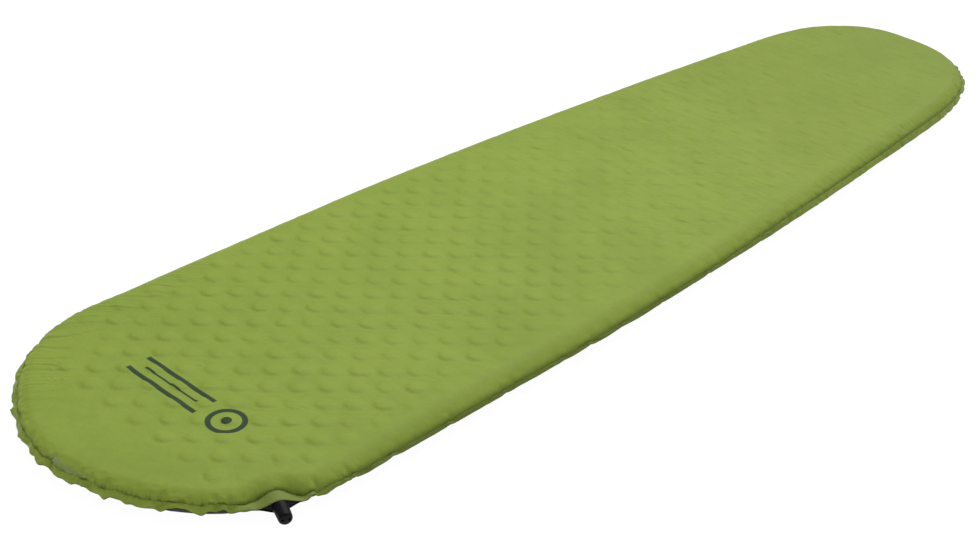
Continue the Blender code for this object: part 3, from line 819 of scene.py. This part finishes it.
def fabric(name, base, light, dark, roughness, specular, sheen, seam_and_shade):
    """Coated woven polyester, with a heat-welded edge."""
    make = Nodes(name, base, roughness)
    shader = make.shader
    shader.inputs["Specular IOR Level"].default_value = specular
    shader.inputs["Sheen Weight"].default_value = sheen
    shader.inputs["Sheen Roughness"].default_value = 0.5
    shader.inputs["Sheen Tint"].default_value = (*light, 1)
    broad = make.noise(9.0, 3.0, 0.55)
    middle = make.noise(46.0, 3.0, 0.6, distortion=0.4)
    fine = make.noise(420.0, 2.0, 0.6)
    slub_x = make.noise(60.0, 2.0, 0.6, place=make.stretch((1.0, 22.0, 22.0)))
    slub_y = make.noise(60.0, 2.0, 0.6, place=make.stretch((22.0, 1.0, 22.0)))
    shade = make.math("MULTIPLY_ADD", broad, 0.55, 0.0)
    shade = make.math("MULTIPLY_ADD", middle, 0.30, shade)
    shade = make.math("MULTIPLY_ADD", fine, 0.22, shade)
    shade = make.math("MULTIPLY_ADD", slub_x, 0.16, shade)
    shade = make.math("MULTIPLY_ADD", slub_y, 0.16, shade)
    colour = make.mix(make.ramp(shade, 0.50, 0.90), dark, light)
    # The weld band: pressed flat, glossier, with a fine knurl from the sealing bar, darker along
    # its cut edge, and darker overall: partly its own tone, partly painted shade from the shoulder.
    depth, ring = make.attribute("depth_in"), make.attribute("ring")
    welded = make.ramp(ring, 0.90, 1.00, 1.0, 0.0)
    x, y, z = make.axes()
    ends = make.math("MAXIMUM", make.ramp(x, -0.80, -0.62, 1.0, 0.0),
                     make.ramp(x, 0.60, 0.80))
    calm = make.math("SUBTRACT", 1.0, ends)
    # The seam's own tone darkens all of the weld a little; painted shade darkens it more on the long sides, fading
    # out towards the foot end.
    seam_tone_and_shade = make.math("MULTIPLY", calm, make.ramp(x, -0.05, 0.40, 0.80, 0.08))
    seam_tone_and_shade = make.math("MULTIPLY", welded, make.math("ADD", seam_tone_and_shade, 0.12))
    colour = make.mix(seam_tone_and_shade, colour, seam_and_shade)
    # Painted light: the head end's flange and lower shoulder are made lighter.
    head_rim_light = make.math("MULTIPLY", make.ramp(x, -0.87, -0.76, 0.62, 0.0),
                      make.ramp(ring, 1.45, 1.95, 1.0, 0.0))
    colour = make.mix(head_rim_light, colour, tuple(1.22 * c for c in light))
    # Painted shade: a dark line in the crease where the shoulder meets the weld.
    line = make.math("MULTIPLY", make.ramp(ring, 0.86, 0.98),
                     make.ramp(ring, 1.0, 1.12, 1.0, 0.0))
    deep = tuple(c * k for c, k in zip(dark, (0.30, 0.36, 0.20)))
    colour = make.mix(make.math("MULTIPLY", line, 0.30), colour, deep)
    # Painted shade in the fold above the weld: blotchy at the ends, even on the long sides.
    fold = make.math("MULTIPLY", make.ramp(ring, 0.92, 1.0), make.math(
        "ADD", make.math("MULTIPLY", calm, make.ramp(ring, 1.02, 1.42, 1.0, 0.0)),
        make.math("MULTIPLY", ends, make.ramp(ring, 1.04, 1.34, 0.72, 0.0)),
    ))
    # Painted shade: blotches that break up the fold's shade at the ends.
    shade_blotches = make.noise(150.0, 2.0, 0.6, place=make.joined(
        make.attribute("along"), make.math("MULTIPLY", depth, 0.4)), distortion=0.3)
    shade_blotches = make.ramp(shade_blotches, 0.38, 0.60, 0.22, 0.85)
    shade_blotches = make.math("ADD", make.math("MULTIPLY", shade_blotches, ends),
                       make.math("MULTIPLY", calm, 0.62))
    fold = make.math("MULTIPLY", fold, shade_blotches)
    colour = make.mix(fold, colour, deep)
    # The flange's outermost strip is made a little darker.
    cut = make.ramp(ring, 0.03, 0.16, 1.0, 0.0)
    colour = make.mix(make.math("MULTIPLY", cut, 0.25), colour,
                      tuple(0.55 * c for c in dark))
    side_x = make.math("SUBTRACT", x, float(VALVE_AT[0]))
    side_y = make.math("SUBTRACT", y, float(VALVE_AT[1]))
    off = make.math("SQRT", make.math("ADD", make.math("MULTIPLY", side_x, side_x),
                                      make.math("MULTIPLY", side_y, side_y)))
    # Painted shade, with a greyer tone, on the weld round the valve where it rises over the valve's base.
    valve_weld_shade = make.math("MULTIPLY", welded, make.ramp(off, 0.030, 0.060, 0.85, 0.0))
    colour = make.mix(valve_weld_shade, colour, tuple(
        c * k for c, k in zip(dark, (0.80, 0.74, 1.25))))
    rough = make.math("MULTIPLY_ADD", middle, 0.14, roughness - 0.07)
    rough = make.math("MULTIPLY_ADD", welded, -0.10, rough)
    make.link(rough, shader.inputs["Roughness"])
    weave = make.weave(0.00046)
    knurl_u = make.math("SINE", make.math("MULTIPLY", make.attribute("along"), 2800.0))
    knurl_v = make.math("SINE", make.math("MULTIPLY", depth, 2800.0))
    knurl = make.math("MULTIPLY", make.math("MULTIPLY", knurl_u, knurl_v), welded)
    # Fine creases on the slant from one blister to the next, in patches.
    patch = make.ramp(make.noise(13.0, 1.0, 0.5), 0.46, 0.62, 0.12, 1.0)
    patch = make.math("MULTIPLY", patch, make.ramp(x, -0.80, -0.66))
    patch = make.math("MULTIPLY", patch, make.ramp(depth, 0.030, 0.060))
    crease = make.lines(make.noise(
        70.0, 0.5, 0.5, place=make.stretch((1.0, 0.22, 1.0), 0.80), distortion=0.3), 0.13)
    second = make.lines(make.noise(
        60.0, 0.5, 0.5, place=make.stretch((1.0, 0.32, 1.0), 0.55), distortion=0.3), 0.12)
    crease = make.math("MULTIPLY", crease, patch)
    second = make.math("MULTIPLY", second, patch)
    crumple = make.noise(190.0, 2.0, 0.5, distortion=0.5)
    # Tight gathers where the shoulder meets the weld, strongest at the ends.
    at_weld = make.math("MULTIPLY", make.ramp(ring, 0.55, 1.0),
                        make.ramp(ring, 1.05, 1.48, 1.0, 0.0))
    gather = make.noise(150.0, 2.0, 0.55, place=make.joined(
        make.attribute("along"), make.math("MULTIPLY", depth, 0.55)), distortion=0.35)
    gather = make.math("MULTIPLY", make.math("SUBTRACT", gather, 0.5),
                       make.math("MULTIPLY", at_weld,
                                 make.math("MULTIPLY_ADD", ends, 0.94, 0.06)))
    # None of them within a hand's breadth of the valve.
    gather = make.math("MULTIPLY", gather, make.ramp(off, 0.040, 0.080, 0.15, 1.0))
    # Long parallel wrinkles that run in from the head's far edge.
    slanted = make.math("MULTIPLY_ADD", depth, make.ramp(x, -0.80, -0.68, 0.0, 0.95),
                        make.attribute("along"))
    long = make.lines(make.noise(76.0, 1.0, 0.4, place=make.joined(
        slanted, make.math("MULTIPLY", depth, 0.10)), distortion=0.15), 0.20)
    there = make.math("MULTIPLY", make.ramp(x, -0.62, -0.42, 1.0, 0.0),
                      make.ramp(y, 0.03, 0.12))
    there = make.math("MULTIPLY", there, make.ramp(depth, 0.045, 0.085, 1.0, 0.0))
    there = make.math("MULTIPLY", there, make.ramp(ring, 1.25, 1.6))
    long = make.math("MULTIPLY", long, there)
    normal = make.bump(crease, 0.00034, 0.9)
    normal = make.bump(second, -0.00026, 0.9, below=normal)
    normal = make.bump(long, -0.0011, 0.9, below=normal)
    normal = make.bump(gather, 0.0068, 0.9, below=normal)
    crumple = make.math("MULTIPLY", crumple, make.ramp(x, 0.1, 0.8, 1.0, 1.6))
    normal = make.bump(crumple, 0.00040, 0.8, below=normal)
    pucker = make.noise(88.0, 1.5, 0.5, distortion=0.3,
                        place=make.stretch((1.0, 0.34, 1.0), 0.18))
    pucker = make.math("MULTIPLY", pucker, make.ramp(x, -0.20, 0.40, 0.15, 1.0))
    normal = make.bump(pucker, 0.00320, 0.8, below=normal)
    normal = make.bump(knurl, 0.00012, 0.8, below=normal)
    normal = make.bump(weave, 0.000035, 0.8, below=normal)
    make.link(normal, shader.inputs["Normal"])
    return make, colour


def green_fabric():
    make, colour = fabric(
        "green_fabric",
        base=(0.250, 0.339, 0.0435), light=(0.269, 0.361, 0.0485),
        dark=(0.228, 0.313, 0.0375), roughness=0.60, specular=0.20, sheen=0.03,
        seam_and_shade=(0.116, 0.158, 0.0195),
    )
    x, y, z = make.axes()
    # A worn, greyish rub on the flange at the head end.
    rub = make.noise(70.0, 4.0, 0.65, distortion=0.4)
    rub = make.ramp(rub, 0.38, 0.62)
    near_edge = make.math("MULTIPLY", make.ramp(make.attribute("ring"), 1.02, 1.22),
                          make.ramp(make.attribute("ring"), 1.38, 1.62, 1.0, 0.0))
    there = make.math("MULTIPLY", make.ramp(y, -0.062, -0.040),
                      make.ramp(y, -0.010, 0.020, 1.0, 0.0))
    there = make.math("MULTIPLY", there, make.ramp(x, -0.86, -0.84, 1.0, 0.0))
    share = make.math("MULTIPLY", make.math("MULTIPLY", rub, near_edge), there)
    colour = make.mix(make.math("MULTIPLY", share, 0.52), colour, (0.33, 0.34, 0.25))
    # A plain printed mark: a ring, and two bars beside it.
    def from_to(value, low, high, soft=0.0005):
        return make.math(
            "MULTIPLY", make.ramp(value, low - soft, low + soft),
            make.ramp(value, high - soft, high + soft, 1.0, 0.0),
        )

    dx = make.math("SUBTRACT", x, -0.7195)
    dy = make.math("SUBTRACT", y, -0.0840)
    away = make.math("SQRT", make.math("ADD", make.math("MULTIPLY", dx, dx),
                                       make.math("MULTIPLY", dy, dy)))
    mark = from_to(away, 0.0185, 0.0255)
    mark = make.math("MAXIMUM", mark, make.ramp(away, 0.0062, 0.0072, 1.0, 0.0))
    for centre, half, low, high in (
        (-0.7350, 0.0034, -0.0440, 0.0850),
        (-0.7195, 0.0015, -0.0300, 0.0700),
        (-0.7040, 0.0034, -0.0440, 0.0850),
    ):
        bar = make.math("MULTIPLY", from_to(x, centre - half, centre + half),
                        from_to(y, low, high))
        mark = make.math("MAXIMUM", mark, bar)
    mark = make.math("MULTIPLY", mark, make.ramp(z, 0.030, 0.034))
    thin = make.ramp(make.noise(900.0, 2.0, 0.6), 0.25, 0.45, 0.91, 0.985)
    colour = make.mix(make.math("MULTIPLY", mark, thin), colour, (0.021, 0.047, 0.020))
    make.link(colour, make.shader.inputs["Base Color"])
    return make.material


def black_fabric():
    make, colour = fabric(
        "black_fabric",
        base=(0.0090, 0.0096, 0.0108), light=(0.0135, 0.0142, 0.0158),
        dark=(0.0062, 0.0066, 0.0076), roughness=0.68, specular=0.16, sheen=0.02,
        seam_and_shade=(0.0042, 0.0045, 0.0052),
    )
    make.link(colour, make.shader.inputs["Base Color"])
    return make.material


def foam_material():
    make = Nodes("cored_foam", (0.80, 0.74, 0.56), 0.95)
    shader = make.shader
    shader.inputs["Specular IOR Level"].default_value = 0.15
    shader.inputs["Subsurface Weight"].default_value = 0.12
    shader.inputs["Subsurface Radius"].default_value = (0.004, 0.003, 0.0015)
    cells = make.tree.nodes.new("ShaderNodeTexVoronoi")
    cells.inputs["Scale"].default_value = 950.0
    make.link(make.place, cells.inputs["Vector"])
    broad = make.noise(14.0, 4.0, 0.6)
    fine = make.noise(650.0, 3.0, 0.6)
    shade = make.math("MULTIPLY_ADD", fine, 0.6, make.math("MULTIPLY", broad, 0.5))
    colour = make.mix(make.ramp(shade, 0.35, 0.75), (0.70, 0.61, 0.40),
                      (0.84, 0.79, 0.62))
    make.link(colour, shader.inputs["Base Color"])
    normal = make.bump(cells.outputs["Distance"], 0.0006, 0.8)
    normal = make.bump(fine, 0.0003, 0.5, below=normal)
    make.link(normal, shader.inputs["Normal"])
    return make.material


def plastic(name, dark, light, roughness, grain):
    make = Nodes(name, dark, roughness)
    shader = make.shader
    shader.inputs["Specular IOR Level"].default_value = 0.14
    broad = make.noise(120.0, 3.0, 0.6)
    spark = make.noise(2600.0, 2.0, 0.6)
    shade = make.math("MULTIPLY_ADD", spark, 0.4, make.math("MULTIPLY", broad, 0.6))
    colour = make.mix(make.ramp(shade, 0.35, 0.70), dark, light)
    make.link(colour, shader.inputs["Base Color"])
    rough = make.math("MULTIPLY_ADD", broad, 0.16, roughness - 0.08)
    make.link(rough, shader.inputs["Roughness"])
    normal = make.bump(spark, 0.00006, grain)
    normal = make.bump(broad, 0.00012, 0.3, below=normal)
    make.link(normal, shader.inputs["Normal"])
    return make.material


def rubber():
    make = Nodes("seal_rubber", (0.020, 0.020, 0.020), 0.62)
    shader = make.shader
    shader.inputs["Specular IOR Level"].default_value = 0.35
    dust = make.noise(700.0, 3.0, 0.65)
    colour = make.mix(make.ramp(dust, 0.4, 0.75), (0.014, 0.014, 0.014),
                      (0.034, 0.033, 0.031))
    make.link(colour, shader.inputs["Base Color"])
    make.link(make.math("MULTIPLY_ADD", dust, 0.2, 0.50), shader.inputs["Roughness"])
    make.link(make.bump(dust, 0.00005, 0.5), shader.inputs["Normal"])
    return make.material


GREEN = green_fabric()
BLACK = black_fabric()
FOAM = foam_material()
SOFT_PLASTIC = plastic("weld_plastic", (0.0040, 0.0044, 0.0056),
                       (0.0070, 0.0076, 0.0090), 0.56, 0.5)
HARD_PLASTIC = plastic("valve_plastic", (0.0030, 0.0036, 0.0055),
                       (0.0052, 0.0060, 0.0085), 0.50, 0.35)
RUBBER = rubber()

# ---------------------------------------------------------------- fabric covers
table = relax_band()
BLISTER_RINGS = (
    (0.0, 1), (0.42, 7), (0.70, 11), (0.88, 15), (1.0, 16), (1.13, 16), (1.32, 14),
)
top = cover("pad_top_cover", +1, 3.7 * MM, 4.4 * MM, BLISTER_RINGS, table, GREEN)
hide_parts("top_cover")
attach(top, "pad")

bottom = cover(
    "pad_bottom_cover", -1, 3.7 * MM, 6.5 * MM,
    ((0.0, 1), (0.6, 6), (0.95, 10), (1.2, 10)), table, BLACK,
)
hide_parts("bottom_cover")
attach(bottom, "pad")


# --------------------------------------------------------------- the foam core
def foam_core():
    """The cored slab: a rounded edge, and a grid of bored holes right through,
    cut away round the valve's base."""
    edge, normal, at, total = outline(8 * MM)
    count = len(edge)
    s, t = valve_coordinates(edge)
    near = s > -0.06
    inset = 13.5 * MM + np.where(near, 28 * MM * (bell(t, 0.052) ** 0.7), 0)
    half = 15.6 * MM
    droop = smooth(-edge[:, 0], 0.60, 0.84) * (1 - np.where(near, bell(t, 0.075), 0))
    rows = []
    for k in range(9):
        angle = math.pi / 2 * (k / 8 * 2 - 1)
        depth = inset + 2.0 * MM * droop + (20 - 6 * droop) * MM * (1 - max(0.0, math.cos(angle)) ** 1.25)
        flat = edge - normal * depth[:, None]
        z = MID - 0.2 * MM + half * math.copysign(abs(math.sin(angle)) ** 1.25, angle)
        rows.append(np.column_stack([flat, np.full(count, z)]))
    index = np.arange(count)
    after = (index + 1) % count
    quads = [
        np.stack([k * count + index, k * count + after,
                  (k + 1) * count + after, (k + 1) * count + index], 1)
        for k in range(8)
    ]
    rim = rows[-1][:, :2]
    sides = 14
    rings, flat = [], [rim]
    total_points = count
    angle = 2 * math.pi * np.arange(sides) / sides
    for row in range(0, 66):
        for j in range(-8, 9):
            cx, cy, radius, _, _ = (
                float(np.asarray(v)[0])
                for v in hole_of(np.array([row]), np.array([j]))
            )
            if distance_of(np.array([cx]), np.array([cy]))[0] < 0.046:
                continue
            along, across = valve_coordinates(np.array([[cx, cy]]))
            if along[0] > -0.085 and abs(across[0]) < 0.06:
                continue
            r = 0.86 * radius
            flat.append(np.stack([cx + r * np.cos(angle), cy + r * np.sin(angle)], 1))
            rings.append(total_points)
            total_points += sides
    flat = np.concatenate(flat)
    edges = [(i, (i + 1) % count) for i in range(count)]
    for first in rings:
        edges += [(first + i, first + (i + 1) % sides) for i in range(sides)]
    made = delaunay_2d_cdt([Vector(map(float, p)) for p in flat], edges, [], 1, 1e-7)
    assert len(made[0]) == len(flat)
    tri = np.array(made[2], dtype=np.int64)
    # Drop the triangles that lie within one hole.
    owner = np.full(len(flat), -1)
    for k, first in enumerate(rings):
        owner[first:first + sides] = k
    own = owner[tri]
    tri = tri[~((own[:, 0] >= 0) & (own[:, 0] == own[:, 1]) & (own[:, 1] == own[:, 2]))]
    holes = len(flat) - count
    points = np.concatenate(rows)
    high, low = rows[-1][0, 2], rows[0][0, 2]
    first_top = len(points)
    points = np.concatenate(
        [points, np.column_stack([flat[count:], np.full(holes, high)]),
         np.column_stack([flat[count:], np.full(holes, low)])]
    )
    to_top = np.concatenate([8 * count + index, first_top + np.arange(holes)])
    to_low = np.concatenate([index, first_top + holes + np.arange(holes)])
    tris = np.concatenate([to_top[tri], to_low[tri][:, ::-1]])
    walls = []
    for first in rings:
        a = first - count + np.arange(sides)
        b = first - count + (np.arange(sides) + 1) % sides
        walls.append(
            np.stack([first_top + b, first_top + a,
                      first_top + holes + a, first_top + holes + b], 1)
        )
    mesh = bpy.data.meshes.new("pad_foam_core")
    mesh.from_pydata(
        [tuple(map(float, p)) for p in points], [],
        [tuple(map(int, q)) for q in np.concatenate(quads + walls)]
        + [tuple(map(int, f)) for f in tris],
    )
    mesh.shade_smooth()
    mesh.set_sharp_from_angle(angle=math.radians(50))
    obj = bpy.data.objects.new("pad_foam_core", mesh)
    bpy.context.scene.collection.objects.link(obj)
    mesh.materials.append(FOAM)
    print("pad_foam_core", len(points), "points", len(rings), "holes")
    return obj


core = foam_core()
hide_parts("foam_core")
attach(core, "pad")

# -------------------------------------------------------------------- the valve
# The valve's own frame: +Z along its axis, out of the pad, and +Y upwards.
AX, AY = VALVE_AXIS
VALVE_FRAME = Matrix(
    (
        (-AY, 0, AX, VALVE_AT[0]),
        (AX, 0, AY, VALVE_AT[1]),
        (0, 1, 0, MID),
        (0, 0, 0, 1),
    )
)


def place(name, mesh, material, body, slot_name, node, smooth_angle=40):
    mesh.transform(VALVE_FRAME)
    mesh.update()
    mesh.shade_smooth()
    mesh.set_sharp_from_angle(angle=math.radians(smooth_angle))
    obj = bpy.data.objects.new(name, mesh)
    bpy.context.scene.collection.objects.link(obj)
    mesh.materials.clear()
    mesh.materials.append(material)
    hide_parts(node)
    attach(obj, body)
    return obj


def weld_base():
    """The lens-shaped base: rounded front and back edges, raised weld ribs
    along its upper and lower faces, and the barrel's bore."""
    count = 128
    turn = 2 * math.pi * np.arange(count) / count
    half, tall, lip = 24.0 * MM, 7.7 * MM, 0.4 * MM

    def lens(inset):
        t = (half - inset) * np.cos(turn)
        h = lip + (tall - lip) * (0.5 + 0.5 * np.cos(math.pi * t / half))
        h = np.maximum(h - inset, 0.25 * MM)
        y = h * np.sign(np.sin(turn)) * np.minimum(1, np.abs(np.sin(turn)) * 8) ** 0.5
        return np.stack([t, y], 1)

    bore = 6.3 * MM
    circle = np.stack([np.cos(turn), np.sin(turn)], 1)
    sections = [(circle * bore, -22.0 * MM), (circle * (bore + 0.25 * MM), -22.0 * MM)]
    back = [(0.9, 0.0), (0.35, 0.12), (0.1, 0.4), (0.0, 0.9)]
    for inset, step in back:
        sections.append((lens(inset * MM), (-22.0 + step) * MM))
    # Weld ribs: three low steps that the covers melt on to.
    for centre in (-18.0, -14.0, -10.0):
        for step, inset in ((-1.0, 0.0), (-0.6, -0.14), (0.6, -0.14), (1.0, 0.0)):
            sections.append((lens(inset * MM), (centre + step) * MM))
    for inset, step in ((0.0, -0.9), (0.1, -0.4), (0.35, -0.12), (0.9, 0.0)):
        sections.append((lens(inset * MM), (1.0 + step) * MM))
    sections.append((circle * (bore + 0.35 * MM), 1.0 * MM))
    sections.append((circle * bore, 0.7 * MM))
    points = np.concatenate(
        [np.column_stack([flat, np.full(count, z)]) for flat, z in sections]
    )
    index = np.arange(count)
    after = (index + 1) % count
    total = len(sections)
    quads = [
        np.stack([k * count + index, k * count + after,
                  (k + 1) % total * count + after, (k + 1) % total * count + index], 1)
        for k in range(total)
    ]
    mesh = bpy.data.meshes.new("valve_weld_base")
    mesh.from_pydata(
        [tuple(map(float, p)) for p in points], [],
        [tuple(map(int, q)) for q in np.concatenate(quads)],
    )
    form = bmesh.new()
    form.from_mesh(mesh)
    bmesh.ops.recalc_face_normals(form, faces=form.faces)
    form.to_mesh(mesh)
    form.free()
    return mesh


def arc(centre_r, centre_z, radius, start, end, steps):
    return [
        (centre_r + radius * math.cos(math.radians(a)),
         centre_z + radius * math.sin(math.radians(a)))
        for a in np.linspace(start, end, steps)
    ]


def knob():
    """The twist knob: domed end, shallow grip flutes, skirt, bore, and the
    plug that closes the barrel; two air holes pass through its end."""
    profile = [(0.0, 28.0), (2.0, 27.98), (3.6, 27.86), (4.8, 27.6)]
    for angle in np.linspace(74, 4, 9):
        profile.append((4.55 + 4.0 * math.cos(math.radians(angle)),
                        23.72 + 4.0 * math.sin(math.radians(angle))))
    profile += [(8.62, 22.0), (8.72, 20.0), (8.83, 17.0), (8.93, 14.0), (9.03, 11.0),
                (9.12, 8.4), (9.16, 7.4), (9.10, 7.1), (9.10, 6.7), (9.26, 6.4),
                (9.30, 5.4), (9.30, 4.3), (9.24, 3.8), (9.05, 3.4), (8.8, 3.22),
                (8.4, 3.2), (7.5, 3.2), (7.2, 3.3), (7.0, 3.6), (7.0, 25.0),
                (6.8, 25.2), (2.2, 25.2), (2.2, 21.4), (5.6, 21.4), (5.6, 19.9),
                (2.9, 19.9), (2.9, 17.0), (2.2, 16.0), (2.2, 12.8), (1.4, 12.0),
                (0.0, 12.0)]
    steps = 96
    form = bmesh.new()
    rings = []
    for number, (r, z) in enumerate(profile):
        if r == 0:
            rings.append([form.verts.new((0, 0, z * MM))])
            continue
        ring = []
        for k in range(steps):
            angle = 2 * math.pi * k / steps
            grip = 0.0
            if number < 26 and 7.2 < z < 26.2 and r > 7:
                shape = max(0.0, math.cos(16 * angle)) ** 1.5
                ends = min(1.0, (z - 7.2) / 1.6, (26.2 - z) / 3.0)
                grip = 0.17 * shape * max(0.0, ends)
            ring.append(form.verts.new(
                ((r - grip) * math.cos(angle) * MM, (r - grip) * math.sin(angle) * MM,
                 z * MM)
            ))
        rings.append(ring)
    for a, b in zip(rings, rings[1:]):
        for k in range(steps):
            n = (k + 1) % steps
            if len(a) == 1:
                form.faces.new((a[0], b[k], b[n]))
            elif len(b) == 1:
                form.faces.new((a[k], b[0], a[n]))
            else:
                form.faces.new((a[k], b[k], b[n], a[n]))
    bmesh.ops.recalc_face_normals(form, faces=form.faces)
    mesh = bpy.data.meshes.new("valve_twist_knob")
    form.to_mesh(mesh)
    form.free()
    obj = bpy.data.objects.new("knob_blank", mesh)
    bpy.context.scene.collection.objects.link(obj)
    cutters = []
    for side in (1, -1):
        drill = bmesh.new()
        sides = 32
        rows = []
        for r, z in ((1.3, 23.0), (1.3, 27.35), (1.75, 27.95), (2.1, 29.2)):
            rows.append([
                drill.verts.new(
                    (side * 4.0 * MM + r * MM * math.cos(2 * math.pi * k / sides),
                     r * MM * math.sin(2 * math.pi * k / sides), z * MM)
                )
                for k in range(sides)
            ])
        for a, b in zip(rows, rows[1:]):
            for k in range(sides):
                n = (k + 1) % sides
                drill.faces.new((a[k], a[n], b[n], b[k]))
        drill.faces.new(rows[0][::-1])
        drill.faces.new(rows[-1])
        bmesh.ops.recalc_face_normals(drill, faces=drill.faces)
        cutter_mesh = bpy.data.meshes.new("drill")
        drill.to_mesh(cutter_mesh)
        drill.free()
        cutter = bpy.data.objects.new("drill", cutter_mesh)
        bpy.context.scene.collection.objects.link(cutter)
        step = obj.modifiers.new("hole", "BOOLEAN")
        step.operation = "DIFFERENCE"
        step.object = cutter
        cutters.append(cutter)
    graph = bpy.context.evaluated_depsgraph_get()
    drilled = bpy.data.meshes.new_from_object(obj.evaluated_get(graph))
    for old in [obj] + cutters:
        bpy.data.objects.remove(old, do_unlink=True)
    # The thread inside the skirt, one turn.
    form = bmesh.new()
    form.from_mesh(drilled)
    turns, per_turn = 1.0, 72
    section = ((7.2, -0.55), (6.25, -0.28), (6.25, 0.28), (7.2, 0.55))
    previous = None
    for k in range(int(turns * per_turn) + 1):
        angle = -math.pi + 2 * math.pi * k / per_turn
        z = 12.4 + 3.2 * k / per_turn
        fade = min(1.0, k / 4, (turns * per_turn - k) / 4)
        ring = []
        for r, dz in section:
            rr = 7.2 - (7.2 - r) * fade
            ring.append(form.verts.new(
                (rr * math.cos(angle) * MM, rr * math.sin(angle) * MM, (z + dz) * MM)
            ))
        if previous:
            for i in range(4):
                form.faces.new((previous[i], previous[(i + 1) % 4],
                                ring[(i + 1) % 4], ring[i]))
        else:
            form.faces.new(ring)
        previous = ring
    form.faces.new(previous[::-1])
    bmesh.ops.recalc_face_normals(form, faces=form.faces)
    form.to_mesh(drilled)
    form.free()
    drilled.name = "valve_twist_knob"
    return drilled


place("valve_weld_base", weld_base(), SOFT_PLASTIC, "pad", "weld_plastic", "valve_base")
place("valve_twist_knob", knob(), HARD_PLASTIC, "knob", "valve_plastic", "valve_knob", 34)

for node, material in (
    ("valve_barrel", HARD_PLASTIC),
    ("valve_plug_seal", RUBBER),
    ("valve_barrel_seal", RUBBER),
):
    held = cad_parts[node]
    if not held.material_slots:
        held.data.materials.append(material)
    for holder in held.material_slots:
        holder.material = material

# ------------------------------------------------------- floor, light, camera
floor_mesh = bpy.data.meshes.new("floor")
form = bmesh.new()
bmesh.ops.create_grid(form, x_segments=1, y_segments=1, size=12)
form.to_mesh(floor_mesh)
form.free()
floor = bpy.data.objects.new("floor", floor_mesh)
bpy.context.scene.collection.objects.link(floor)
floor.location.z = -0.0004
paper = Nodes("floor", (0.12, 0.12, 0.12), 0.95)
paper.shader.inputs["Specular IOR Level"].default_value = 0.05
paper.shader.inputs["Emission Color"].default_value = (1, 1, 1, 1)
paper.shader.inputs["Emission Strength"].default_value = 0.97
tooth = paper.noise(400.0, 2.0, 0.5)
paper.link(paper.bump(tooth, 0.00005, 0.2), paper.shader.inputs["Normal"])
floor_mesh.materials.append(paper.material)

world = bpy.data.worlds.new("studio")
world.use_nodes = True
bpy.context.scene.world = world
world.node_tree.nodes["Background"].inputs["Color"].default_value = (1, 1, 1, 1)
world.node_tree.nodes["Background"].inputs["Strength"].default_value = 0.32


def area_light(name, place_at, target, size, power):
    lamp = bpy.data.lights.new(name, "AREA")
    lamp.shape = "RECTANGLE"
    lamp.size, lamp.size_y = size
    lamp.energy = power
    obj = bpy.data.objects.new(name, lamp)
    bpy.context.scene.collection.objects.link(obj)
    obj.location = place_at
    obj.rotation_mode = "QUATERNION"
    obj.rotation_quaternion = (
        Vector(place_at) - Vector(target)
    ).to_track_quat("Z", "Y")
    return obj


area_light("overhead", (0.05, 0.30, 1.7), (0.1, 0.0, 0), (1.6, 1.2), 11.5)
# The broad main light, from beyond the foot end and the far side.
key = bpy.data.lights.new("key", "SUN")
key.energy = 1.65
key.angle = math.radians(34)
key_at = bpy.data.objects.new("key", key)
bpy.context.scene.collection.objects.link(key_at)
key_at.rotation_mode = "QUATERNION"
key_at.rotation_quaternion = Vector((0.67, 0.18, 0.78)).to_track_quat("Z", "Y")

camera_data = bpy.data.cameras.new("camera")
camera_data.lens = 68.198
camera_data.sensor_width = 36
camera_data.clip_start, camera_data.clip_end = 0.05, 60
camera = bpy.data.objects.new("camera", camera_data)
bpy.context.scene.collection.objects.link(camera)
LOOK = (
    (0.6888983, -0.7231979, 0.0490298),
    (-0.3456596, -0.3872137, -0.8547427),
    (0.6371331, 0.5718832, -0.5167311),
)
camera.matrix_world = Matrix(
    (
        (LOOK[0][0], -LOOK[1][0], -LOOK[2][0], -1.83731144),
        (LOOK[0][1], -LOOK[1][1], -LOOK[2][1], -1.48909457),
        (LOOK[0][2], -LOOK[1][2], -LOOK[2][2], 1.32786103),
        (0, 0, 0, 1),
    )
)
bpy.context.scene.camera = camera
bpy.context.scene.view_settings.view_transform = "Standard"
